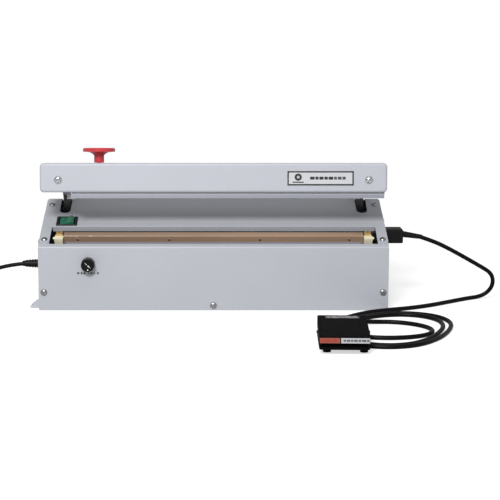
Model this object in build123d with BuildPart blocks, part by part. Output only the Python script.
from build123d import *

import os
from math import cos, pi, radians, sin, tan

os.makedirs("parts", exist_ok=True)

# Tabletop impulse heat sealer with a film cutter in its sealing arm and a foot switch on a lead.
# Frame: +X to the right, +Y to the back, +Z up. The origin is on the floor, in the middle of the
# housing's footprint. Everything is drawn with the sealing arm open. Millimetres.

# ---- driving dimensions -------------------------------------------------------------------
# housing
half_width = 243.0
front_y = -120.0
rear_y = 120.0
fold_height = 89.6
slope_angle = 20.0
deck_length = 141.8
rear_fall_angle = 14.0
sheet = 1.5
cover_sheet = 1.2
floor_sheet = 2.0
bend = 2.5
corner_radius = 6.0
fit_gap = 0.3

# opening in the sloping deck, and the lower jaw in it (t up the slope, n out of it)
opening_half = 228.5
opening_front_t = 8.6
opening_rear_t = 58.0
rear_lip_depth = 7.1
seal_half = 210.0
bar_t = 34.7
bar_width = 11.0
bar_top_n = 1.0
bar_height = 21.0
foil = 0.25
carrier_floor_n = -20.0
carrier_half = 204.5

# sealing arm
pivot_y = 21.0
pivot_z = 103.0
opening_angle = 26.0
shaft_radius = 6.0
running_gap = 0.05
arm_x = 213.5
arm_thickness = 10.0
tube_radius = 11.0
bush_radius = 8.0
beam_half = 241.0
beam_front_t = 8.5
beam_rear_t = 58.5
beam_bottom_n = 11.2
beam_top_n = 52.2
beam_sheet = 2.0
notch_x = 214.25
notch_width = 15.5

# film cutter
knob_x = -160.3
knob_t = 33.5
cutter_travel = 345.0
blade_t = 21.5

# drive
lever_x = 95.0
crank_y = 21.0
crank_z = 43.0
crank_radius = 20.0
crank_rest_angle = 28.0
drive_pin_radius = 4.0

# controls
switch_x = -208.5
switch_t = 71.9
timer_x = -173.5
timer_z = 65.8

# foot switch, turned a little about Z
pedal_x = 161.0
pedal_y = -340.0
pedal_yaw = -2.1
pedal_width = 62.0
pedal_front = 43.0
pedal_back = 44.0
pedal_foot = 6.5
treadle_pin_z = 19.5

# cords
pedal_cord_diameter = 6.0
mains_cord_diameter = 5.5
coil_x = -392.0
coil_y = 14.0
coil_radius = 31.0
coil_section = 15.9
coil_base = 0.6

# ---- planes -------------------------------------------------------------------------------
slope = radians(slope_angle)
pivot = Vector(0, pivot_y, pivot_z)
fold = Vector(0, front_y, fold_height)
deck = Plane(origin=fold, x_dir=(1, 0, 0), z_dir=(0, -sin(slope), cos(slope)))
deck_side = Plane(origin=fold, x_dir=(0, cos(slope), sin(slope)), z_dir=(1, 0, 0))
front_face = Plane(origin=(0, front_y, 0), x_dir=(1, 0, 0), z_dir=(0, -1, 0))
left_face = Plane(origin=(-half_width, 0, 0), x_dir=(0, -1, 0), z_dir=(-1, 0, 0))
right_face = Plane(origin=(half_width, 0, 0), x_dir=(0, 1, 0), z_dir=(1, 0, 0))


def opened(direction):
    """A direction of the closed arm, as it points with the arm open."""
    return Vector(direction).rotate(Axis.X, -opening_angle)


# the arm's own planes: t and n are those of the closed arm over the deck
arm_origin = pivot + opened(fold - pivot)
arm_deck = Plane(origin=arm_origin, x_dir=(1, 0, 0), z_dir=opened(deck.z_dir))
arm_side = Plane(origin=arm_origin, x_dir=opened(deck_side.x_dir), z_dir=(1, 0, 0))
arm_front = Plane(
    origin=arm_origin + opened(deck_side.x_dir) * beam_front_t,
    x_dir=(1, 0, 0),
    z_dir=opened(deck_side.x_dir) * -1,
)
closed_side = Plane(origin=pivot, x_dir=opened((0, 1, 0)), z_dir=(1, 0, 0))

pedal_turn = radians(pedal_yaw)
pedal_right = Vector(cos(pedal_turn), sin(pedal_turn), 0)
pedal_back_way = Vector(-sin(pedal_turn), cos(pedal_turn), 0)
pedal_floor = Plane(origin=(pedal_x, pedal_y, 0), x_dir=pedal_right, z_dir=(0, 0, 1))
pedal_side = Plane(origin=(pedal_x, pedal_y, 0), x_dir=pedal_back_way, z_dir=pedal_right)
pedal_rear = Plane(
    origin=Vector(pedal_x, pedal_y, 0) + pedal_back_way * pedal_back,
    x_dir=pedal_right * -1,
    z_dir=pedal_back_way,
)


def on_deck(t, n=0.0):
    """Y and Z of the point t up the slope and n out of it."""
    return (
        front_y + t * cos(slope) - n * sin(slope),
        fold_height + t * sin(slope) + n * cos(slope),
    )


def write(piece, node):
    """Label a finished piece and write its file."""
    piece.label = node
    export_step(piece, f"parts/{node}.step")


def cord_path(route, name):
    """Straight runs joined by tangent arcs, each as large as its two runs allow."""
    points = [Vector(*p) for p in route]
    radii = []
    for before, corner, after in zip(points, points[1:], points[2:]):
        turn = radians((corner - before).get_angle(after - corner))
        shorter = min((corner - before).length, (after - corner).length)
        radii.append(0.45 * shorter / tan(turn / 2))
    print(name, "radii", [round(r) for r in radii])
    return points, radii


ridge_y, ridge_z = on_deck(deck_length)
rear_drop = (rear_y - ridge_y) * tan(radians(rear_fall_angle))
rear_top_z = ridge_z - rear_drop
inner_half = half_width - sheet
inner_front = front_y + sheet
inner_rear = rear_y - sheet

# ---- fasteners ----------------------------------------------------------------------------
head_radius = 4.7
head_height = 2.6
shank_radius = 2.0
shank_length = 7.0
front_screws = [(-235.7, 25.6), (235.7, 25.6), (0, 7.2)]
deck_screws = [(-235.7, 19.0), (235.7, 19.0), (-234.5, 122.4), (234.5, 122.4)]
left_screws = [(90, 92), (-60, 100)]
right_screws = [(-31, 112), (60, 100)]
rear_screws = [(-225, 26), (225, 26), (-225, 90), (225, 90)]
rear_face = Plane(origin=(0, rear_y, 0), x_dir=(-1, 0, 0), z_dir=(0, 1, 0))


def places(plane, points, height=0.0):
    """Locations on a plane, facing out of it."""
    return [plane.location * Location((x, y, height)) for x, y in points]


with BuildPart() as button_screw:
    with BuildSketch(Plane.XZ):
        with BuildLine():
            Polyline((head_radius * 0.45, head_height), (0, head_height), (0, -shank_length),
                     (shank_radius, -shank_length), (shank_radius, 0), (head_radius, 0),
                     (head_radius, 0.6))
            ThreePointArc((head_radius, 0.6), (head_radius * 0.82, head_height * 0.72),
                          (head_radius * 0.45, head_height))
        make_face()
    revolve(axis=Axis.Z)
    with BuildSketch(Plane.XY.offset(head_height)):
        RegularPolygon(1.9, 6)
    extrude(amount=-1.6, mode=Mode.SUBTRACT)

screw_places = (
    places(front_face, front_screws)
    + places(deck, deck_screws, cover_sheet)
    + places(left_face, left_screws)
    + places(right_face, right_screws)
    + places(rear_face, rear_screws)
)
with BuildPart() as cover_screws:
    with Locations(*screw_places):
        add(button_screw.part)
write(cover_screws.part, "cover_screws")

# ---- housing ------------------------------------------------------------------------------
flange_height = 12.0
spring_x = 221.0
spring_pin_radius = 2.5
tail_reach = 45.0
spring_y = pivot_y + tail_reach * cos(radians(opening_angle))
spring_top_z = pivot_z - tail_reach * sin(radians(opening_angle))
spring_foot_z = 11.0
board_x = -66.0
board_y = -65.0
board_z = 14.0

with BuildPart() as base_plate:
    with BuildSketch():
        Rectangle(2 * inner_half - fit_gap, 2 * inner_rear - fit_gap)
    extrude(amount=floor_sheet)
    with BuildSketch(Plane.XY.offset(floor_sheet)):
        Rectangle(2 * inner_half - fit_gap, 2 * inner_rear - fit_gap)
        offset(amount=-sheet, mode=Mode.SUBTRACT)
    extrude(amount=flange_height)
    with BuildSketch(Plane.XY.offset(floor_sheet)):
        with Locations((board_x, board_y)):
            with GridLocations(48, 50, 2, 2):
                Circle(3.5)
    extrude(amount=board_z - floor_sheet)
    with BuildSketch(Plane.XY):
        with Locations((-150, -40), (148, -60)):
            with GridLocations(0, 12, 1, 5):
                SlotOverall(60, 4)
    extrude(amount=floor_sheet, mode=Mode.SUBTRACT)
    with Locations(*places(front_face, front_screws[2:])):
        Cylinder(shank_radius, 6 * sheet, mode=Mode.SUBTRACT)
    with BuildSketch(Plane.YZ.offset(-217.5)):
        with Locations((spring_y, (spring_foot_z + 6 + floor_sheet) / 2)):
            Rectangle(11, spring_foot_z + 6 - floor_sheet)
    extrude(amount=3)
    with BuildSketch(Plane.YZ.offset(-226.5)):
        with Locations((spring_y, spring_foot_z)):
            Circle(spring_pin_radius)
    extrude(amount=9.5)
    with BuildSketch(Plane.YZ.offset(214.5)):
        with Locations((spring_y, (spring_foot_z + 6 + floor_sheet) / 2)):
            Rectangle(11, spring_foot_z + 6 - floor_sheet)
    extrude(amount=3)
    with BuildSketch(Plane.YZ.offset(217)):
        with Locations((spring_y, spring_foot_z)):
            Circle(spring_pin_radius)
    extrude(amount=9.5)
write(base_plate.part, "base_plate")

lug_out = 14.0
lug_length = 24.0
lug_height = 11.0
lug_hole = 2.75
lug_places = [(-1, -92), (-1, 92), (1, 92)]
with BuildPart() as bench_lugs:
    for side, y in lug_places:
        edge = side * half_width
        with BuildSketch():
            with Locations((edge + side * lug_out / 2, y)):
                Rectangle(lug_out, lug_length)
                Circle(lug_hole, mode=Mode.SUBTRACT)
        extrude(amount=floor_sheet)
        for end in (-1, 1):
            web = Plane(origin=(0, y + end * (lug_length - floor_sheet) / 2, 0),
                        x_dir=(1, 0, 0), z_dir=(0, -1, 0))
            with BuildSketch(web):
                with BuildLine():
                    Polyline((edge, 0), (edge + side * lug_out, 0),
                             (edge + side * lug_out, floor_sheet),
                             (edge + side * 2, lug_height), (edge, lug_height), close=True)
                make_face()
            extrude(amount=floor_sheet / 2, both=True)
write(bench_lugs.part, "bench_lugs")

side_flange_t = 32.0
with BuildPart() as front_cover:
    with BuildSketch(Plane.YZ.offset(-half_width)):
        with BuildLine():
            FilletPolyline((front_y, 0), (front_y, fold_height), on_deck(opening_front_t),
                           radius=bend)
            offset(amount=sheet, side=Side.RIGHT)
        make_face()
    extrude(amount=2 * half_width)
    with BuildSketch(deck):
        for side in (-1, 1):
            with Locations((side * (half_width + opening_half) / 2,
                            (opening_front_t + side_flange_t) / 2)):
                Rectangle(half_width - opening_half, side_flange_t - opening_front_t)
    extrude(amount=-sheet)
    bottom_corners = front_cover.edges().filter_by(Axis.Y).group_by(Axis.Z)[0]
    fillet(bottom_corners, radius=corner_radius)
    with Locations(*places(front_face, front_screws), *places(deck, deck_screws[:2])):
        Cylinder(shank_radius, 4 * sheet, mode=Mode.SUBTRACT)
    with Locations(*places(front_face, [(timer_x, timer_z)])):
        Cylinder(4.0, 4 * sheet, mode=Mode.SUBTRACT)
write(front_cover.part, "front_cover")

step_t = 98.0
step_width = 1.8
ear_width = half_width - opening_half
ear_end_t = 8.6
ear_centre_t = ear_end_t + ear_width / 2
notch_front_y = on_deck(97.5)[0]
notch_rear_y = 38.0
with BuildPart() as top_cover:
    with BuildSketch(Plane.YZ.offset(-half_width)):
        with BuildLine():
            FilletPolyline(on_deck(opening_rear_t), (ridge_y, ridge_z), (rear_y, rear_top_z),
                           (rear_y, rear_top_z - 14), radius=bend)
            offset(amount=cover_sheet, side=Side.LEFT)
        make_face()
    extrude(amount=2 * half_width)
    with BuildSketch(deck):
        for side in (-1, 1):
            ear_x = side * (half_width - ear_width / 2)
            with Locations((ear_x, (ear_centre_t + opening_rear_t + 1) / 2)):
                Rectangle(ear_width, opening_rear_t + 1 - ear_centre_t)
            with Locations((ear_x, ear_centre_t)):
                Circle(ear_width / 2)
    extrude(amount=cover_sheet)
    with BuildSketch(deck):
        with Locations((0, opening_rear_t + cover_sheet / 2)):
            Rectangle(2 * opening_half, cover_sheet)
    extrude(amount=-rear_lip_depth)
    lip_bend = top_cover.edges().filter_by(Axis.X).sort_by_distance(
        deck.from_local_coords((0, opening_rear_t, cover_sheet)))[0]
    fillet(lip_bend, radius=cover_sheet * 0.9)
    step_y = on_deck(step_t)[0]
    with BuildSketch(Plane.XY.offset(fold_height)):
        for side in (-1, 1):
            with Locations((side * (half_width - step_width / 2), (step_y + rear_y) / 2)):
                Rectangle(step_width, rear_y + 4 - step_y)
            with Locations((side * notch_x, (notch_front_y + notch_rear_y) / 2)):
                SlotOverall(notch_rear_y - notch_front_y, notch_width, rotation=90)
    extrude(amount=70, mode=Mode.SUBTRACT)
    with BuildSketch(deck.offset(-1)):
        with Locations((switch_x, switch_t)):
            Rectangle(25.2, 24.2)
    extrude(amount=4, mode=Mode.SUBTRACT)
    with Locations(*places(deck, deck_screws)):
        Cylinder(shank_radius, 4 * sheet, mode=Mode.SUBTRACT)
write(top_cover.part, "top_cover")

with BuildPart() as rear_cover:
    with BuildSketch(rear_face):
        with Locations((0, (rear_top_z - bend) / 2)):
            Rectangle(2 * half_width, rear_top_z - bend)
        with Locations((-120, 42), (120, 42)):
            with GridLocations(9, 0, 12, 1):
                SlotOverall(36, 4, rotation=90, mode=Mode.SUBTRACT)
    extrude(amount=-sheet)
    with Locations(*places(rear_face, rear_screws)):
        Cylinder(shank_radius, 4 * sheet, mode=Mode.SUBTRACT)
write(rear_cover.part, "rear_cover")

gland_y = -60.0
gland_z = 56.0
gland_radius = 6.3
socket_y = -65.0
socket_z = 96.0
plug_z = 97.7
socket_width = 18.0
socket_height = 12.0
rear_fall = radians(rear_fall_angle)
side_outline = [
    (inner_front, 0), (inner_rear, 0), (inner_rear, rear_top_z - bend),
    (inner_rear - bend, rear_top_z),
    (ridge_y + sheet * cos(rear_fall), ridge_z - sheet * sin(rear_fall)),
    on_deck(deck_length - sheet), on_deck(side_flange_t + fit_gap),
    on_deck(side_flange_t + fit_gap, -sheet), (inner_front, fold_height - sheet),
]


def side_panel(side):
    """One end plate, with the flange that the top cover is screwed to."""
    with BuildPart() as panel:
        with BuildSketch(Plane.YZ.offset(side * inner_half)):
            with BuildLine():
                Polyline(*side_outline, close=True)
            make_face()
        extrude(amount=side * sheet)
        with BuildSketch(deck):
            with Locations((side * (inner_half - 6), (side_flange_t + deck_length) / 2)):
                Rectangle(12, deck_length - side_flange_t - 4)
        extrude(amount=-sheet)
        with BuildSketch(rear_face.offset(-sheet)):
            with Locations((-side * (inner_half - 11), 60)):
                Rectangle(22, 84)
        extrude(amount=-sheet)
        holes = places(left_face, left_screws) if side < 0 else places(right_face, right_screws)
        rear_holes = [p for p in rear_screws if p[0] * side < 0]
        with Locations(*holes, *places(deck, deck_screws), *places(rear_face, rear_holes)):
            Cylinder(shank_radius, 6 * sheet, mode=Mode.SUBTRACT)
        if side < 0:
            with Locations(*places(left_face, [(-gland_y, gland_z)])):
                Cylinder(gland_radius, 4 * sheet, mode=Mode.SUBTRACT)
        else:
            with Locations(*places(right_face, [(socket_y, socket_z)])):
                Box(socket_width, socket_height, 4 * sheet, mode=Mode.SUBTRACT)
    return panel.part


write(side_panel(-1), "side_panel_left")
write(side_panel(1), "side_panel_right")

# ---- lower jaw ----------------------------------------------------------------------------
with BuildPart() as bar_carrier:
    with BuildSketch(deck_side):
        with BuildLine():
            Polyline((51.5, -9), (51.5, carrier_floor_n), (14.9, carrier_floor_n), (14.9, -1),
                     (9.2, -1))
            offset(amount=sheet, side=Side.LEFT)
        make_face()
    extrude(amount=carrier_half, both=True)
    with BuildSketch(deck_side):
        with Locations((33.2, carrier_floor_n - sheet / 2)):
            Rectangle(36.6, sheet)
    extrude(amount=half_width - ear_width - 4, both=True)
    leg_y, leg_top = on_deck(33, carrier_floor_n - sheet)
    with BuildSketch(Plane.XY.offset(floor_sheet)):
        with GridLocations(300, 0, 2, 1):
            with Locations((0, leg_y)):
                Rectangle(24, 3)
    extrude(until=Until.NEXT)
    with BuildSketch(Plane.XY.offset(floor_sheet)):
        with GridLocations(300, 0, 2, 1):
            with Locations((0, leg_y + 8)):
                Rectangle(24, 16)
    extrude(amount=floor_sheet)
write(bar_carrier.part, "bar_carrier")

with BuildPart() as seal_bar:
    with BuildSketch(deck_side):
        with Locations((bar_t, bar_top_n - bar_height / 2)):
            Rectangle(bar_width, bar_height)
        with Locations((bar_t, carrier_floor_n + 1.5)):
            Rectangle(bar_width + 9, 3)
    extrude(amount=seal_half, both=True)
    long_edges = seal_bar.edges().filter_by(Axis.X)
    shoulders = [e for e in long_edges
                 if abs(deck.to_local_coords(e.center()).Z - bar_top_n) < 0.01]
    fillet(shoulders, radius=1.5)
write(seal_bar.part, "seal_bar")

with BuildPart() as heating_element:
    with BuildSketch(deck_side):
        with Locations((bar_t, bar_top_n + foil / 2)):
            Rectangle(5, foil)
    extrude(amount=seal_half - 0.4, both=True)
write(heating_element.part, "heating_element")

cover_leg_n = -16.0
ptfe_top_n = bar_top_n + 2 * foil + 0.05
with BuildPart() as ptfe_cover:
    with BuildSketch(deck_side):
        with BuildLine():
            bar_left = bar_t - bar_width / 2
            bar_right = bar_t + bar_width / 2
            FilletPolyline((bar_left, cover_leg_n), (bar_left, ptfe_top_n - foil),
                           (bar_right, ptfe_top_n - foil), (bar_right, cover_leg_n), radius=1.2)
            offset(amount=foil, side=Side.LEFT)
        make_face()
    extrude(amount=seal_half - 0.6, both=True)
write(ptfe_cover.part, "ptfe_cover")

strip_thickness = 1.8
strip_offset = bar_width / 2 + foil + strip_thickness / 2
with BuildPart() as ptfe_clamp_strips:
    with BuildSketch(deck_side):
        with Locations((bar_t - strip_offset, -12), (bar_t + strip_offset, -12)):
            Rectangle(strip_thickness, 7)
    extrude(amount=seal_half - 2, both=True)
write(ptfe_clamp_strips.part, "ptfe_clamp_strips")

bar_screw_x = [-190, -62, 65, 190]
bar_front = Plane(origin=deck.from_local_coords((0, bar_left - foil, 0)), x_dir=(1, 0, 0),
                  z_dir=deck_side.x_dir * -1)
with BuildPart() as bar_screws:
    with Locations(*places(bar_front, [(x, -4.4) for x in bar_screw_x])):
        Cone(1.9, 1.2, 1.1, align=(Align.CENTER, Align.CENTER, Align.MIN))
write(bar_screws.part, "bar_screws")

block_in = seal_half + 0.3
block_out = block_in + 11.7
block_front_t = 21.0
block_rear_t = 30.8
block_top_n = 0.8
lever_axis_x = block_in + 6.0
lever_axis_n = -1.5
lever_pin = 1.5
with BuildPart() as terminal_blocks:
    for side in (-1, 1):
        with BuildSketch(deck.offset(carrier_floor_n)):
            with Locations((side * (block_in + block_out) / 2, (block_front_t + block_rear_t) / 2)):
                Rectangle(block_out - block_in, block_rear_t - block_front_t)
        extrude(amount=block_top_n - carrier_floor_n)
        with BuildSketch(deck.offset(block_top_n)):
            with Locations((side * (block_in + block_out) / 2, (block_front_t + block_rear_t) / 2)):
                Rectangle(block_out - block_in, 2.4)
        extrude(amount=-1.6, mode=Mode.SUBTRACT)
        pin_place = Plane(origin=deck.from_local_coords((side * lever_axis_x, block_rear_t,
                                                         lever_axis_n)),
                          x_dir=(1, 0, 0), z_dir=deck.y_dir)
        with BuildSketch(pin_place):
            Circle(lever_pin)
        extrude(amount=9.2)
        screw_place = Plane(origin=deck.from_local_coords((side * block_out, 25.9, -0.8)),
                            x_dir=deck.y_dir, z_dir=(side, 0, 0))
        with BuildSketch(screw_place):
            Circle(1.9)
        extrude(amount=2.2)
write(terminal_blocks.part, "terminal_blocks")

lever_front_t = block_rear_t + 0.4
lever_rear_t = lever_front_t + 7.6


def tension_lever(side):
    """Rounded lever that the end of the heating element is clamped to."""
    centre = deck.from_local_coords((side * lever_axis_x, lever_front_t, lever_axis_n))
    lever_plane = Plane(origin=centre, x_dir=(side, 0, 0), z_dir=deck.y_dir)
    up = 1 if lever_plane.y_dir.dot(deck.z_dir) > 0 else -1
    with BuildPart() as lever:
        with BuildSketch(lever_plane):
            Circle(5.8)
            with Locations((1.4, -up * 6)):
                Rectangle(4, 8)
            Circle(lever_pin + running_gap, mode=Mode.SUBTRACT)
        extrude(amount=lever_rear_t - lever_front_t)
        clamp = Plane(origin=deck.from_local_coords((side * lever_axis_x, bar_t, lever_axis_n + 5.6)),
                      x_dir=(1, 0, 0), z_dir=deck.z_dir)
        with BuildSketch(clamp):
            Circle(1.8)
        extrude(amount=1.2)
        with BuildSketch(clamp.offset(1.2)):
            Rectangle(3.4, 0.6)
        extrude(amount=-0.6, mode=Mode.SUBTRACT)
    return lever.part


write(tension_lever(-1), "tension_lever_left")
write(tension_lever(1), "tension_lever_right")

# ---- sealing arm --------------------------------------------------------------------------
pivot_t, pivot_n = deck_side.to_local_coords(pivot).X, deck_side.to_local_coords(pivot).Y
boss_radius = 15.0
tail_t = pivot_t + tail_reach * cos(slope)
tail_n = pivot_n - tail_reach * sin(slope)
arm_front_t = beam_front_t + beam_sheet + 2.0
arm_bottom_n = 14.0
arm_top_n = 44.0
bolt_n = beam_bottom_n + 17.6
bolt_x = 215.5
bolt_radius = 3.0


def sealing_arm_plate(side):
    """Bent arm from the beam, over the deck and down through its notch to the pivot."""
    with BuildPart() as arm:
        with BuildSketch(arm_side.offset(side * arm_x - arm_thickness / 2)):
            with BuildLine():
                Polyline((arm_front_t, arm_bottom_n), (100, arm_bottom_n), (110, 2),
                         (pivot_t - boss_radius, pivot_n + 2), (pivot_t - 6, pivot_n - 13.5),
                         (tail_t - 2, tail_n - 6), (tail_t + 5.5, tail_n - 2),
                         (tail_t + 4, tail_n + 5.5), (pivot_t + 13.5, pivot_n + 8),
                         (140, 4), (132, 20), (98, arm_top_n), (arm_front_t, arm_top_n),
                         close=True)
            make_face()
            fillet(vertices(), radius=2.5)
            with Locations((pivot_t, pivot_n)):
                Circle(boss_radius)
                Circle(tube_radius, mode=Mode.SUBTRACT)
        extrude(amount=arm_thickness)
        with Locations(*places(arm_front, [(side * bolt_x, bolt_n)])):
            Cylinder(bolt_radius, 60, mode=Mode.SUBTRACT)
        outer = side * (arm_x + arm_thickness / 2)
        with BuildSketch(arm_side.offset(outer)):
            with Locations((tail_t, tail_n)):
                Circle(spring_pin_radius)
        extrude(amount=side * 7.6)
    return arm.part


write(sealing_arm_plate(-1), "arm_left")
write(sealing_arm_plate(1), "arm_right")

tube_half = arm_x + arm_thickness / 2
bush_length = 15.0
pivot_plane = Plane(origin=pivot, x_dir=(0, 1, 0), z_dir=(1, 0, 0))
with BuildPart() as torque_tube:
    with BuildSketch(pivot_plane):
        Circle(tube_radius)
        Circle(bush_radius, mode=Mode.SUBTRACT)
    extrude(amount=tube_half, both=True)
write(torque_tube.part, "torque_tube")

with BuildPart() as pivot_bushes:
    for side in (-1, 1):
        with BuildSketch(pivot_plane.offset(side * (tube_half - bush_length))):
            Circle(bush_radius)
            Circle(shaft_radius + running_gap, mode=Mode.SUBTRACT)
        extrude(amount=side * bush_length)
        with BuildSketch(pivot_plane.offset(side * tube_half)):
            Circle(bush_radius + 2)
            Circle(shaft_radius + running_gap, mode=Mode.SUBTRACT)
        extrude(amount=side * 1.5)
write(pivot_bushes.part, "pivot_bushes")

bracket_x = 227.5
bracket_thickness = 3.0
with BuildPart() as pivot_shaft:
    with BuildSketch(pivot_plane):
        Circle(shaft_radius)
    extrude(amount=bracket_x + bracket_thickness + 3, both=True)
    shaft_ends = pivot_shaft.edges().filter_by(GeomType.CIRCLE)
    chamfer(shaft_ends, length=0.8)
write(pivot_shaft.part, "pivot_shaft")

with BuildPart() as pivot_brackets:
    for side in (-1, 1):
        with BuildSketch(Plane.YZ.offset(side * bracket_x)):
            with BuildLine():
                Polyline((pivot_y - 26, floor_sheet), (pivot_y + 26, floor_sheet),
                         (pivot_y + 12, pivot_z + 10), (pivot_y - 12, pivot_z + 10), close=True)
            make_face()
            with Locations((pivot_y, pivot_z)):
                Circle(shaft_radius, mode=Mode.SUBTRACT)
            with Locations((pivot_y, 50)):
                Circle(14, mode=Mode.SUBTRACT)
        extrude(amount=side * bracket_thickness)
        with BuildSketch(Plane.XY.offset(floor_sheet)):
            with Locations((side * (bracket_x + 5.5), pivot_y)):
                Rectangle(11, 52)
        extrude(amount=bracket_thickness)
write(pivot_brackets.part, "pivot_brackets")

lever_rest = radians(-opening_angle / 2)
lever_way = Vector(0, sin(lever_rest), -cos(lever_rest))
lever_plane = Plane(origin=pivot, x_dir=lever_way, z_dir=(1, 0, 0))
pin_reach = 42.0
with BuildPart() as drive_lever:
    with BuildSketch(lever_plane.offset(lever_x - 3)):
        Circle(16)
        with Locations((28, 0)):
            Rectangle(52, 18)
        with Locations((pin_reach, 0)):
            SlotOverall(16, 2 * drive_pin_radius + 1.8, mode=Mode.SUBTRACT)
        Circle(tube_radius, mode=Mode.SUBTRACT)
    extrude(amount=6)
write(drive_lever.part, "drive_lever")

armature_y = 35.0
armature_top = -38.0
armature_bottom = -70.0
armature_thickness = 5.0
with BuildPart() as armature_plate:
    with BuildSketch(closed_side.offset(-20)):
        with BuildLine():
            Polyline((-9, -8), (armature_y, armature_bottom + 6), (armature_y, armature_top),
                     (12, 4), close=True)
        make_face()
        Circle(tube_radius + 4)
        Circle(tube_radius, mode=Mode.SUBTRACT)
    extrude(amount=5)
    with BuildSketch(closed_side.offset(15)):
        with BuildLine():
            Polyline((-9, -8), (armature_y, armature_bottom + 6), (armature_y, armature_top),
                     (12, 4), close=True)
        make_face()
        Circle(tube_radius + 4)
        Circle(tube_radius, mode=Mode.SUBTRACT)
    extrude(amount=5)
    with BuildSketch(closed_side):
        with Locations((armature_y + armature_thickness / 2, (armature_top + armature_bottom) / 2)):
            Rectangle(armature_thickness, armature_top - armature_bottom)
    extrude(amount=30, both=True)
write(armature_plate.part, "armature_plate")

# the slot for the cutter's grip runs along the top of the beam
beam_t = (beam_front_t + beam_rear_t) / 2
beam_depth = beam_rear_t - beam_front_t
beam_height = beam_top_n - beam_bottom_n
grip_neck = 3.0
slot_start = knob_x - 8
slot_end = knob_x + cutter_travel + 8
with BuildPart() as beam_cover:
    with BuildSketch(arm_side):
        with Locations((beam_t, (beam_bottom_n + beam_top_n) / 2)):
            Rectangle(beam_depth, beam_height)
    extrude(amount=beam_half, both=True)
    depth_edges = [e for e in beam_cover.edges()
                   if abs(e.tangent_at(0.5).dot(arm_side.x_dir)) > 0.99]
    fillet(depth_edges, radius=corner_radius)
    fillet(beam_cover.faces().sort_by_distance(arm_front.origin)[0].edges(), radius=3.5)
    with BuildSketch(arm_side):
        with Locations((beam_t, beam_bottom_n - 4 + (beam_height - beam_sheet + 4) / 2)):
            Rectangle(beam_depth - 2 * beam_sheet, beam_height - beam_sheet + 4)
    extrude(amount=beam_half - beam_sheet - 2, both=True, mode=Mode.SUBTRACT)
    with BuildSketch(arm_deck.offset(beam_top_n + 1)):
        with Locations(((slot_start + slot_end) / 2, knob_t)):
            SlotOverall(slot_end - slot_start, 2 * grip_neck + 1.2)
    extrude(amount=-6, mode=Mode.SUBTRACT)
    with Locations(*places(arm_front, [(-bolt_x, bolt_n), (bolt_x, bolt_n)])):
        Cylinder(bolt_radius, 4 * beam_sheet, mode=Mode.SUBTRACT)
    arm_gate = arm_top_n + 0.5 - beam_bottom_n
    for side in (-1, 1):
        with BuildSketch(arm_side.offset(side * arm_x)):
            with Locations((beam_rear_t, beam_bottom_n + arm_gate / 2)):
                Rectangle(3 * beam_sheet, arm_gate)
        extrude(amount=arm_thickness / 2 + fit_gap, both=True, mode=Mode.SUBTRACT)
write(beam_cover.part, "beam_cover")

jaw_half = arm_x - arm_thickness / 2
jaw_bottom_n = 8.0
jaw_top_n = 32.0
jaw_front_t = 27.0
jaw_rear_t = 42.4
with BuildPart() as upper_jaw:
    with BuildSketch(arm_side):
        with Locations((bar_t, (jaw_bottom_n + jaw_top_n) / 2)):
            Rectangle(jaw_rear_t - jaw_front_t, jaw_top_n - jaw_bottom_n)
        with Locations((bar_t, 23.5)):
            Rectangle(jaw_rear_t - jaw_front_t - 5, 12, mode=Mode.SUBTRACT)
        with Locations((bar_t, jaw_bottom_n + 1.5)):
            Rectangle(8, 3, mode=Mode.SUBTRACT)
        with Locations((bar_t, jaw_bottom_n + 3.5)):
            Rectangle(10, 2, mode=Mode.SUBTRACT)
    extrude(amount=jaw_half, both=True)
write(upper_jaw.part, "upper_jaw")

silicone_bottom_n = ptfe_top_n + 0.35
with BuildPart() as silicone_strip:
    with BuildSketch(arm_side):
        with Locations((bar_t, (silicone_bottom_n + jaw_bottom_n) / 2)):
            Rectangle(10.4, jaw_bottom_n - silicone_bottom_n)
        with Locations((bar_t, jaw_bottom_n + 1.5)):
            Rectangle(8, 3)
        with Locations((bar_t, jaw_bottom_n + 3.5)):
            Rectangle(10, 2)
    extrude(amount=seal_half - 5, both=True)
write(silicone_strip.part, "silicone_strip")

rail_left = -198.0
rail_right = 239.0
rail_bottom_n = 3.2
rail_top_n = 24.0
rail_back_t = beam_front_t + 2 * beam_sheet
with BuildPart() as cutter_rail:
    with BuildSketch(arm_side.offset(rail_left)):
        with Locations((rail_back_t - beam_sheet / 2, (rail_bottom_n + rail_top_n) / 2)):
            Rectangle(beam_sheet, rail_top_n - rail_bottom_n)
        with Locations((rail_back_t + 0.6, rail_bottom_n + 0.8)):
            Rectangle(1.2, 1.6)
    extrude(amount=rail_right - rail_left - 2)
write(cutter_rail.part, "cutter_rail")

dome_radius = 5.8
dome_height = 3.6
with BuildPart() as dome_bolt:
    with BuildSketch(Plane.XZ):
        with BuildLine():
            Polyline((1.0, dome_height), (0, dome_height), (0, -26), (bolt_radius, -26),
                     (bolt_radius, 0), (dome_radius, 0), (dome_radius, 0.5))
            ThreePointArc((dome_radius, 0.5), (dome_radius * 0.72, dome_height * 0.72),
                          (1.0, dome_height))
        make_face()
    revolve(axis=Axis.Z)
with BuildPart() as beam_bolts:
    with Locations(*places(arm_front, [(-bolt_x, bolt_n), (bolt_x, bolt_n)])):
        add(dome_bolt.part)
write(beam_bolts.part, "beam_bolts")

plate_x = 148.3
plate_n = beam_bottom_n + 19.8
with BuildPart() as nameplate:
    with BuildSketch(arm_front):
        with Locations((plate_x, plate_n)):
            RectangleRounded(93, 20, 1.2)
    extrude(amount=0.6)
write(nameplate.part, "nameplate")

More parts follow.
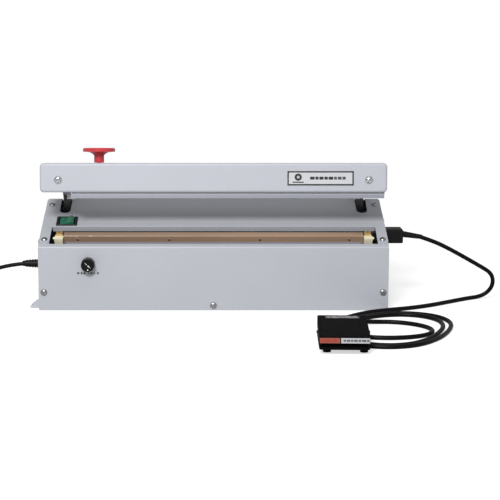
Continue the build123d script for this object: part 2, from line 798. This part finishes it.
# ---- film cutter --------------------------------------------------------------------------
grip_base_n = beam_top_n + 0.4
grip_height = 20.5
carriage_half = 15.0
carriage_bottom_n = jaw_top_n + 0.4
carriage_top_n = 44.0
leg_front_t = 18.0
leg_rear_t = 25.0
leg_bottom_n = 14.4
grip_axis = arm_deck.from_local_coords((knob_x, knob_t, 0))
grip_plane = Plane(origin=grip_axis, x_dir=(1, 0, 0), z_dir=arm_deck.y_dir * -1)
with BuildPart() as cutter_carriage:
    with BuildSketch(arm_side.offset(knob_x)):
        with Locations(((leg_front_t + 48) / 2, (carriage_bottom_n + carriage_top_n) / 2)):
            Rectangle(48 - leg_front_t, carriage_top_n - carriage_bottom_n)
        with Locations(((leg_front_t + leg_rear_t) / 2, (leg_bottom_n + carriage_top_n) / 2)):
            Rectangle(leg_rear_t - leg_front_t, carriage_top_n - leg_bottom_n)
    extrude(amount=carriage_half, both=True)
    with BuildSketch(arm_side.offset(knob_x)):
        with Locations((blade_t, 20)):
            Rectangle(0.6, 40)
    extrude(amount=9, both=True, mode=Mode.SUBTRACT)
    with Locations(arm_deck.location * Location((knob_x, knob_t, carriage_top_n))):
        Cylinder(grip_neck - 0.4, 12, mode=Mode.SUBTRACT)
write(cutter_carriage.part, "cutter_carriage")

with BuildPart() as cutter_blade:
    with BuildSketch(arm_side.offset(knob_x)):
        with Locations((blade_t, (0.6 + 39.9) / 2)):
            Rectangle(0.6, 39.3)
    extrude(amount=9, both=True)
    for side in (-1, 1):
        corner = Plane(origin=arm_deck.from_local_coords((knob_x, blade_t, 0.6)),
                       x_dir=(1, 0, 0), z_dir=arm_deck.y_dir)
        with BuildSketch(corner):
            with BuildLine():
                Polyline((side * 10, -10), (side * 10, 10), (0, 0), (0, -10), close=True)
            make_face()
        extrude(amount=2, both=True, mode=Mode.SUBTRACT)
write(cutter_blade.part, "cutter_blade")

with BuildPart() as cutter_knob:
    with BuildSketch(grip_plane):
        with BuildLine():
            Polyline((0, carriage_top_n - 5), (grip_neck - 0.4, carriage_top_n - 5),
                     (grip_neck - 0.4, carriage_top_n), (grip_neck, carriage_top_n),
                     (grip_neck, grip_base_n), (7, grip_base_n), (7, grip_base_n + 10.2),
                     (9.5, grip_base_n + 12.6), (13.5, grip_base_n + 14.6),
                     (22.5, grip_base_n + 15.3), (22.5, grip_base_n + grip_height - 1.2),
                     (21.3, grip_base_n + grip_height), (0, grip_base_n + grip_height), close=True)
        make_face()
    revolve(axis=Axis(grip_axis, arm_deck.z_dir))
write(cutter_knob.part, "cutter_knob")

# ---- drive and electrics ------------------------------------------------------------------
crank_rest = radians(-crank_rest_angle)
crank_way = Vector(0, sin(crank_rest), cos(crank_rest))
crank_plane = Plane(origin=(0, crank_y, crank_z), x_dir=crank_way, z_dir=(1, 0, 0))
crank_face_x = lever_x + 6.0
crank_thickness = 6.0
gearbox_x = crank_face_x + crank_thickness + 4.0
output_radius = 4.0
with BuildPart() as drive_crank:
    with BuildSketch(crank_plane.offset(crank_face_x)):
        Circle(9)
        with Locations((crank_radius / 2, 0)):
            Rectangle(crank_radius, 13)
        with Locations((crank_radius, 0)):
            Circle(6.5)
    extrude(amount=crank_thickness)
    with BuildSketch(crank_plane.offset(crank_face_x)):
        with Locations((crank_radius, 0)):
            Circle(drive_pin_radius)
    extrude(amount=-12)
    with BuildSketch(crank_plane.offset(crank_face_x + crank_thickness)):
        Circle(output_radius)
    extrude(amount=18)
write(drive_crank.part, "drive_crank")

gear_plane = Plane(origin=(gearbox_x, crank_y, crank_z), x_dir=(0, 1, 0), z_dir=(1, 0, 0))
gearbox_length = 26.0
motor_length = 52.0
with BuildPart() as gearmotor:
    with BuildSketch(gear_plane):
        Circle(18.5)
        Circle(output_radius + running_gap, mode=Mode.SUBTRACT)
    extrude(amount=gearbox_length)
    with BuildSketch(gear_plane.offset(gearbox_length - 4)):
        Circle(17.2)
    extrude(amount=motor_length)
    with BuildSketch(gear_plane.offset(gearbox_length - 4 + motor_length)):
        Circle(6)
        with Locations((0, 10), (0, -10)):
            Rectangle(4.8, 0.8)
    extrude(amount=7)
write(gearmotor.part, "gearmotor")

with BuildPart() as motor_bracket:
    with BuildSketch(gear_plane):
        with Locations((0, (floor_sheet - crank_z + 20) / 2)):
            Rectangle(46, crank_z - floor_sheet + 20)
        Circle(11, mode=Mode.SUBTRACT)
    extrude(amount=-3)
    with BuildSketch(Plane.XY.offset(floor_sheet)):
        with Locations((gearbox_x + 20, crank_y)):
            Rectangle(40, 46)
            with GridLocations(24, 34, 2, 2):
                Circle(2.2, mode=Mode.SUBTRACT)
    extrude(amount=3)
write(motor_bracket.part, "motor_bracket")

magnet_face_y = pivot_y + armature_y + armature_thickness + fit_gap
magnet_z = pivot_z + (armature_top + armature_bottom) / 2
magnet_plane = Plane(origin=(0, magnet_face_y, magnet_z), x_dir=(1, 0, 0), z_dir=(0, 1, 0))
magnet_length = 30.0
with BuildPart() as holding_magnet:
    with BuildSketch(magnet_plane):
        Circle(25)
    extrude(amount=magnet_length)
    with BuildSketch(magnet_plane):
        Circle(20)
        Circle(10, mode=Mode.SUBTRACT)
    extrude(amount=2, mode=Mode.SUBTRACT)
write(holding_magnet.part, "holding_magnet")

with BuildPart() as magnet_bracket:
    with BuildSketch(magnet_plane.offset(magnet_length)):
        with Locations((0, (magnet_z - floor_sheet) / 2 - 5)):
            Rectangle(56, magnet_z - floor_sheet + 10)
    extrude(amount=4)
    with BuildSketch(Plane.XY.offset(floor_sheet)):
        with Locations((0, magnet_face_y + magnet_length / 2)):
            Rectangle(56, magnet_length)
    extrude(amount=3)
write(magnet_bracket.part, "magnet_bracket")

core_x = -160.0
core_y = -45.0
with BuildPart() as transformer_core:
    with BuildSketch(Plane.XY.offset(floor_sheet)):
        with Locations((core_x, core_y)):
            Rectangle(78, 34)
            with GridLocations(66, 24, 2, 2):
                Circle(2.2, mode=Mode.SUBTRACT)
    extrude(amount=2)
    with BuildSketch(Plane.XY.offset(floor_sheet + 2)):
        with Locations((core_x, core_y)):
            Rectangle(60, 26)
    extrude(amount=50)
    with BuildSketch(Plane(origin=(core_x, core_y, floor_sheet + 27), x_dir=(1, 0, 0),
                           z_dir=(0, 1, 0))):
        with GridLocations(30, 0, 2, 1):
            Rectangle(10, 30)
    extrude(amount=13, both=True, mode=Mode.SUBTRACT)
write(transformer_core.part, "transformer_core")

with BuildPart() as transformer_coil:
    with BuildSketch(Plane.XY.offset(floor_sheet + 12.2)):
        with Locations((core_x, core_y)):
            RectangleRounded(39.4, 50, 5)
            Rectangle(20, 26, mode=Mode.SUBTRACT)
    extrude(amount=29.6)
write(transformer_coil.part, "transformer_coil")

board_thickness = 1.6
with BuildPart() as control_board:
    with BuildSketch(Plane.XY.offset(board_z)):
        with Locations((board_x, board_y)):
            RectangleRounded(58, 60, 2)
    extrude(amount=board_thickness)
    with BuildSketch(Plane.XY.offset(board_z + board_thickness)):
        with Locations((board_x - 14, board_y + 12)):
            Rectangle(16, 20)
        with Locations((board_x + 8, board_y + 12)):
            Rectangle(12, 28)
    extrude(amount=15)
    with BuildSketch(Plane.XY.offset(board_z + board_thickness)):
        with Locations((board_x - 12, board_y - 12)):
            Circle(6)
        with Locations((board_x + 4, board_y - 12)):
            Circle(4)
    extrude(amount=18)
    with BuildSketch(Plane.XY.offset(board_z + board_thickness)):
        with Locations((board_x, board_y - 24)):
            Rectangle(44, 8)
        with Locations((board_x + 20, board_y - 8)):
            Rectangle(9, 9)
    extrude(amount=9)
write(control_board.part, "control_board")

# extension springs from the arms' tails down to the floor, drawn as stacks of close turns
spring_radius = 5.0
wire = 1.3
coil_bottom = spring_foot_z + 11
coil_top = spring_top_z - 11
turns = int((coil_top - coil_bottom) / wire)
eye_radius = 5.0
with BuildPart() as return_springs:
    for side in (-1, 1):
        spring_plane = Plane(origin=(side * spring_x, spring_y, 0), x_dir=(0, 1, 0),
                             z_dir=(1, 0, 0))
        with BuildSketch(spring_plane):
            with BuildLine():
                inner = spring_radius - wire
                Polyline((spring_radius - wire / 2, coil_bottom), (inner, coil_bottom),
                         (inner, coil_bottom + turns * wire),
                         (spring_radius - wire / 2, coil_bottom + turns * wire))
                for turn in range(turns):
                    low = coil_bottom + turn * wire
                    ThreePointArc((spring_radius - wire / 2, low + wire),
                                  (spring_radius, low + wire / 2),
                                  (spring_radius - wire / 2, low))
            make_face()
        revolve(axis=Axis((side * spring_x, spring_y, 0), (0, 0, 1)))
        for eye_z, way in ((spring_foot_z, 1), (spring_top_z, -1)):
            stem_end = coil_bottom if way > 0 else coil_bottom + turns * wire
            with BuildSketch(spring_plane):
                with Locations((0, eye_z)):
                    Circle(eye_radius)
                    Circle(eye_radius - wire, mode=Mode.SUBTRACT)
                with Locations((0, (eye_z + way * (eye_radius - wire / 2) + stem_end + way) / 2)):
                    Rectangle(wire, abs(stem_end + way - eye_z) - eye_radius + wire / 2)
                with Locations((0, stem_end + way * wire / 2)):
                    Rectangle(2 * (spring_radius - wire / 2), wire)
            extrude(amount=wire / 2, both=True)
write(return_springs.part, "return_springs")

# ---- controls -----------------------------------------------------------------------------
frame_top_n = cover_sheet + 1.4
rocker_n = -2.2
cavity_x = 22.0
cavity_t = 21.4
with BuildPart() as power_switch_frame:
    with BuildSketch(deck.offset(cover_sheet)):
        with Locations((switch_x, switch_t)):
            RectangleRounded(30, 26.6, 1.5)
    extrude(amount=frame_top_n - cover_sheet)
    rim = power_switch_frame.faces().sort_by(Axis(fold, deck.z_dir))[-1]
    chamfer(rim.edges(), length=0.7)
    with BuildSketch(deck.offset(cover_sheet)):
        with Locations((switch_x, switch_t)):
            Rectangle(25, 24)
    extrude(amount=-22)
    with BuildSketch(deck.offset(frame_top_n)):
        with Locations((switch_x, switch_t)):
            Rectangle(cavity_x, cavity_t)
    extrude(amount=-16, mode=Mode.SUBTRACT)
    with BuildSketch(deck.offset(cover_sheet - 22)):
        with Locations((switch_x, switch_t)):
            with GridLocations(0, 7, 1, 3):
                Rectangle(4.8, 0.8)
    extrude(amount=-8)
    rocker_pivot = deck.from_local_coords((switch_x, switch_t, rocker_n))
    rocker_plane = Plane(origin=rocker_pivot, x_dir=(1, 0, 0), z_dir=deck.y_dir * -1)
    with BuildSketch(rocker_plane):
        Circle(1.5 + running_gap)
    extrude(amount=cavity_t / 2 + 1, both=True, mode=Mode.SUBTRACT)
write(power_switch_frame.part, "power_switch_frame")

with BuildPart() as power_rocker:
    with BuildSketch(rocker_plane):
        with BuildLine():
            Polyline((-9.8, 4.4), (-1.0, 4.7), (6.6, 8.4), (9.8, 4.4), (7.6, -4.5), (-7.6, -4.5),
                     close=True)
        make_face()
    extrude(amount=cavity_t / 2 - 0.4, both=True)
    with BuildSketch(rocker_plane):
        Circle(1.5)
    extrude(amount=cavity_t / 2 + 0.8, both=True)
write(power_rocker.part, "power_rocker")

timer_plane = Plane(origin=(timer_x, front_y, timer_z), x_dir=(1, 0, 0), z_dir=(0, -1, 0))
timer_shaft = 3.0
with BuildPart() as timer_potentiometer:
    with BuildSketch(timer_plane.offset(-sheet)):
        Circle(8.5)
        with Locations((0, -9)):
            Rectangle(11, 8)
        Circle(timer_shaft + running_gap, mode=Mode.SUBTRACT)
    extrude(amount=-10)
    with BuildSketch(timer_plane.offset(-sheet)):
        Circle(4.0)
        Circle(timer_shaft + running_gap, mode=Mode.SUBTRACT)
    extrude(amount=sheet + 0.4)
write(timer_potentiometer.part, "timer_potentiometer")

knob_height = 12.0
knob_gap = 1.0
with BuildPart() as timer_knob:
    with BuildSketch(timer_plane.offset(knob_gap)):
        Circle(9.5)
    extrude(amount=knob_height, taper=1.5)
    with BuildSketch(timer_plane.offset(knob_gap)):
        Circle(timer_shaft)
    extrude(amount=-knob_gap - sheet - 8)
    cap_edge = timer_knob.edges().filter_by(GeomType.CIRCLE).sort_by(Axis.Y)[0]
    fillet(cap_edge, radius=0.8)
    with BuildSketch(timer_plane.offset(knob_gap + knob_height)):
        Rectangle(1.4, 22, rotation=40)
    extrude(amount=-0.6, mode=Mode.SUBTRACT)
write(timer_knob.part, "timer_knob")

# ---- leads and their fittings -------------------------------------------------------------
gland_length = 29.0
with BuildPart() as mains_gland:
    with BuildSketch(Plane(origin=(-half_width, gland_y, gland_z), x_dir=(-1, 0, 0),
                           z_dir=(0, -1, 0))):
        with BuildLine():
            Polyline((-5.5, 0), (-5.5, 9), (-1.5, 9), (-1.5, gland_radius), (0, gland_radius),
                     (0, 9), (2.4, 9), (4.0, 7.4), (8, 6.4), (8, 5.4), (10, 5.4),
                     (10, 6.2), (12, 6.1), (12, 5.2), (14, 5.2), (14, 5.9), (16, 5.8),
                     (16, 5.0), (18, 5.0), (18, 5.6), (20, 5.5), (20, 4.7), (22, 4.7),
                     (22, 5.2), (24, 5.1), (24, 4.4), (gland_length, 3.8), (gland_length, 0),
                     close=True)
        make_face()
    revolve(axis=Axis((-half_width, gland_y, gland_z), (-1, 0, 0)))
write(mains_gland.part, "mains_gland")

plug_body = 24.5
plug_depth = 26.0
plug_height = 20.0
boot_start = (half_width + plug_body, socket_y, plug_z + 1.5)
boot_end = (295.5, socket_y, 95.0)
with BuildPart() as footswitch_socket:
    with BuildSketch(right_face):
        with Locations((socket_y, socket_z)):
            Rectangle(socket_width, socket_height)
    extrude(amount=-20)
    with BuildSketch(right_face):
        with Locations((socket_y, socket_z)):
            Rectangle(socket_width - 4, socket_height - 4)
    extrude(amount=-14, mode=Mode.SUBTRACT)
write(footswitch_socket.part, "footswitch_socket")

boot_way = Vector(*boot_end) - Vector(*boot_start)
boot_plane = Plane(origin=boot_start, x_dir=(0, 1, 0), z_dir=boot_way)
with BuildPart() as footswitch_plug:
    with BuildSketch(right_face):
        with Locations((socket_y, plug_z)):
            Rectangle(plug_depth, plug_height)
    extrude(amount=plug_body)
    body_edges = footswitch_plug.faces().sort_by(Axis.X)[-1].edges()
    chamfer(body_edges, length=1.6)
    fillet(footswitch_plug.edges().filter_by(Axis.X), radius=1.5)
    for rib in range(9):
        with Locations((half_width + 3 + 2.1 * rib, socket_y, plug_z + plug_height / 2)):
            Box(0.9, 18, 1.0, mode=Mode.SUBTRACT)
    with BuildSketch(right_face):
        with Locations((socket_y, socket_z)):
            Rectangle(socket_width - 4.4, socket_height - 4.4)
    extrude(amount=-12)
    with BuildSketch(boot_plane.offset(-2)):
        Circle(4.6)
    with BuildSketch(boot_plane.offset(boot_way.length)):
        Circle(3.2)
    loft()
write(footswitch_plug.part, "footswitch_plug")

floor_z = pedal_cord_diameter / 2
pedal_entry = pedal_rear.origin + Vector(0, 0, 11)
pedal_cord_route = [
    boot_end, (313, -66.5, 88.7), (333, -67, 79), (352, -65, 68.5), (370, -61, 58),
    (385, -56, 49), (397, -50, 41), (402.5, -45.5, 30.5), (402, -41, 18.5), (395, -38, 8.5),
    (383.5, -39, 3.2), (371, -45, 3), (355, -57, 3), (330, -78, 3), (303, -100, 3),
    (273, -118, 3), (243, -130, 3), (213, -145, 3), (187, -170, 3), (163, -202, 3),
    (149, -240, 3),
    (149, -285, 3), (160, -322, 3), (186, -346, 3), (222, -354, 3), (258, -340, 3),
    (288, -302, 3), (308, -255, 3), (317, -210, 3), (306, -174, 3), (276, -153, 3),
    (240, -152, 3), (205, -172, 3), (175, -206, 3), (159, -247, 3), (160, -290, 3),
    (175, -324, 3), (206, -345, 3), (242, -341, 3), (270, -314, 3), (290, -275, 3),
    (304, -232, 3), (302, -192, 3), (278, -164, 3), (243, -160, 3), (208, -178, 3),
    (178, -212, 3), (164, -251, 3), (175, -286, 3), (207, -303, 3), (246, -301, 3),
    (277, -284, 3), (287, -254, 3), (272, -225, 3), (242, -207, 3), (211, -209, 3.4),
    (188, -226, 7.8), (171, -249, 10.9), (163, -274, 11.1), tuple(pedal_entry),
]
cord_points, cord_radii = cord_path(pedal_cord_route, "pedal_cord")
with BuildPart() as pedal_cord:
    with BuildLine() as pedal_cord_line:
        FilletPolyline(*cord_points, radius=cord_radii)
    cord_wire = pedal_cord_line.wires()[0]
    with BuildSketch(Plane(origin=cord_wire @ 0, z_dir=cord_wire % 0)):
        Circle(pedal_cord_diameter / 2)
    sweep(path=cord_wire)
pedal_cord_length = pedal_cord_line.wires()[0].length
print("pedal cord length", round(pedal_cord_length), "volume over section times length",
      round(pedal_cord.part.volume / (pedal_cord_length * pi * floor_z ** 2), 3))
write(pedal_cord.part, "pedal_cord")

gland_end = (-half_width - gland_length, gland_y, gland_z)
mains_floor = mains_cord_diameter / 2
coil_near = (coil_x + coil_radius, coil_y, mains_floor)
mains_cord_route = [
    gland_end, (-296, -60, 53), (-319, -59, 44.5), (-338, -56, 30), (-352, -48, 14),
    (-361, -34, 4.5), (-363.5, -12, mains_floor), coil_near,
]
coil_far = (coil_x - coil_radius, coil_y, mains_floor)
plug_root = (-378, -78, 19)
tail_route = [
    coil_far, (-426, -10, mains_floor), (-428, -34, 3.5), (-425, -56, 8), (-414, -71, 14.5),
    (-397, -78, 18.8), plug_root,
]
lead_points, lead_radii = cord_path(mains_cord_route, "mains_cord")
tail_points, tail_radii = cord_path(tail_route, "mains_tail")
with BuildPart() as mains_cord:
    for points, radii in ((lead_points, lead_radii), (tail_points, tail_radii)):
        with BuildLine() as lead_line:
            FilletPolyline(*points, radius=radii)
        lead_wire = lead_line.wires()[0]
        with BuildSketch(Plane(origin=lead_wire @ 0, z_dir=lead_wire % 0)):
            Circle(mains_floor)
        sweep(path=lead_wire)
        print("mains run", round(lead_wire.length))
write(mains_cord.part, "mains_cord")

with BuildPart() as mains_coil:
    with BuildSketch(Plane(origin=(coil_x, coil_y, coil_base + coil_section / 2), x_dir=(1, 0, 0),
                           z_dir=(0, -1, 0))):
        with Locations((coil_radius, 0)):
            RectangleRounded(coil_section, coil_section, 4)
    revolve(axis=Axis((coil_x, coil_y, 0), (0, 0, 1)))
write(mains_coil.part, "mains_coil")

tie_thickness = 0.6
with BuildPart() as coil_tie:
    with BuildSketch(Plane.YZ.offset(coil_x - 2.5)):
        with Locations((coil_y + coil_radius, coil_base + coil_section / 2)):
            RectangleRounded(coil_section + 2 * tie_thickness, coil_section + 2 * tie_thickness, 4.6)
            RectangleRounded(coil_section + 0.4, coil_section + 0.4, 4, mode=Mode.SUBTRACT)
    extrude(amount=5)
write(coil_tie.part, "coil_tie")

mains_plug_plane = Plane(origin=plug_root, x_dir=(0, 1, 0), z_dir=(1, 0, 0))
with BuildPart() as mains_plug:
    with BuildSketch(mains_plug_plane):
        Circle(4.2)
    with BuildSketch(mains_plug_plane.offset(16)):
        Circle(7)
    with BuildSketch(mains_plug_plane.offset(22)):
        Circle(16)
    loft(ruled=True)
    with BuildSketch(mains_plug_plane.offset(22)):
        Circle(19)
    extrude(amount=17)
    with BuildSketch(mains_plug_plane.offset(39)):
        with Locations((0, 9.5), (0, -9.5)):
            Circle(2.4)
    extrude(amount=19)
    with BuildSketch(mains_plug_plane.offset(39)):
        Circle(2.5)
    extrude(amount=-12, mode=Mode.SUBTRACT)
write(mains_plug.part, "mains_plug")

# ---- foot switch --------------------------------------------------------------------------
treadle_wall = 2.0
base_gap = 0.6
base_inner = pedal_width - 2 * treadle_wall - 2 * base_gap
plinth_top = 10.0
treadle_front_z = 22.7
treadle_rear_z = 31.0
skirt_front_z = 14.5
skirt_rear_z = 17.5
pedal_pin = 2.2
entry_half = 7.0
base_outline = [
    (-pedal_front + 5, plinth_top), (-pedal_front + 5, 15.5), (-9, 18.5), (-4.5, 23),
    (4.5, 23), (9, 20.5), (pedal_back - 5, 20.5), (pedal_back - 5, plinth_top),
]
with BuildPart() as pedal_base:
    with BuildSketch(pedal_floor.offset(pedal_foot)):
        with Locations((0, (pedal_back - pedal_front) / 2)):
            RectangleRounded(pedal_width, pedal_front + pedal_back, corner_radius - 1)
    extrude(amount=plinth_top - pedal_foot)
    with BuildSketch(pedal_side):
        with BuildLine():
            Polyline(*base_outline, close=True)
        make_face()
    extrude(amount=base_inner / 2, both=True)
    with BuildSketch(pedal_floor.offset(plinth_top - 1)):
        with Locations((0, (pedal_back - pedal_front) / 2)):
            Rectangle(base_inner - 5, pedal_front + pedal_back - 15)
    extrude(amount=30, mode=Mode.SUBTRACT)
    with BuildSketch(pedal_floor.offset(pedal_foot)):
        with Locations((0, pedal_back - 4)):
            Rectangle(2 * entry_half, 8)
    extrude(amount=9.5)
    with BuildSketch(pedal_side):
        with Locations((0, treadle_pin_z)):
            Circle(pedal_pin)
    extrude(amount=base_inner / 2 + 1, both=True, mode=Mode.SUBTRACT)
    with BuildSketch(pedal_rear):
        with Locations((0, 11)):
            Circle(floor_z)
    extrude(amount=-14, mode=Mode.SUBTRACT)
write(pedal_base.part, "pedal_base")

with BuildPart() as pedal_feet:
    for x in (-21.0, 24.5):
        for y in (-24.0, 28.0):
            with BuildSketch(pedal_floor):
                with Locations((x, y)):
                    Circle(5)
            extrude(amount=pedal_foot)
write(pedal_feet.part, "pedal_feet")

with BuildPart() as pedal_treadle:
    with BuildSketch(pedal_side):
        with BuildLine():
            Polyline((-pedal_front, skirt_front_z), (-pedal_front, treadle_front_z - 1),
                     (-pedal_front + 3, treadle_front_z), (pedal_back, treadle_rear_z),
                     (pedal_back, skirt_rear_z), close=True)
        make_face()
    extrude(amount=pedal_width / 2, both=True)
    with BuildSketch(pedal_floor):
        with Locations((0, (pedal_back - pedal_front) / 2)):
            RectangleRounded(pedal_width, pedal_front + pedal_back, 3)
    extrude(amount=60, mode=Mode.INTERSECT)
    with BuildSketch(pedal_side):
        with BuildLine():
            Polyline((-pedal_front + treadle_wall, 5),
                     (-pedal_front + treadle_wall, treadle_front_z - 2.6),
                     (pedal_back - treadle_wall, treadle_rear_z - 2.6),
                     (pedal_back - treadle_wall, 5), close=True)
        make_face()
    extrude(amount=pedal_width / 2 - treadle_wall, both=True, mode=Mode.SUBTRACT)
    with BuildSketch(pedal_side):
        with Locations((0, treadle_pin_z)):
            Circle(pedal_pin + running_gap)
    extrude(amount=pedal_width, both=True, mode=Mode.SUBTRACT)
write(pedal_treadle.part, "pedal_treadle")

with BuildPart() as pedal_pins:
    for side in (-1, 1):
        with BuildSketch(pedal_side.offset(side * (base_inner / 2 - 2.5))):
            with Locations((0, treadle_pin_z)):
                Circle(pedal_pin)
        extrude(amount=side * 7.3)
write(pedal_pins.part, "pedal_pins")

with BuildPart() as pedal_microswitch:
    with BuildSketch(pedal_floor.offset(plinth_top - 1)):
        with Locations((0, -18)):
            Rectangle(20, 10)
    extrude(amount=8)
    with BuildSketch(pedal_floor.offset(plinth_top + 7)):
        with Locations((4, -18)):
            Circle(1.6)
    extrude(amount=1.2)
write(pedal_microswitch.part, "pedal_microswitch")
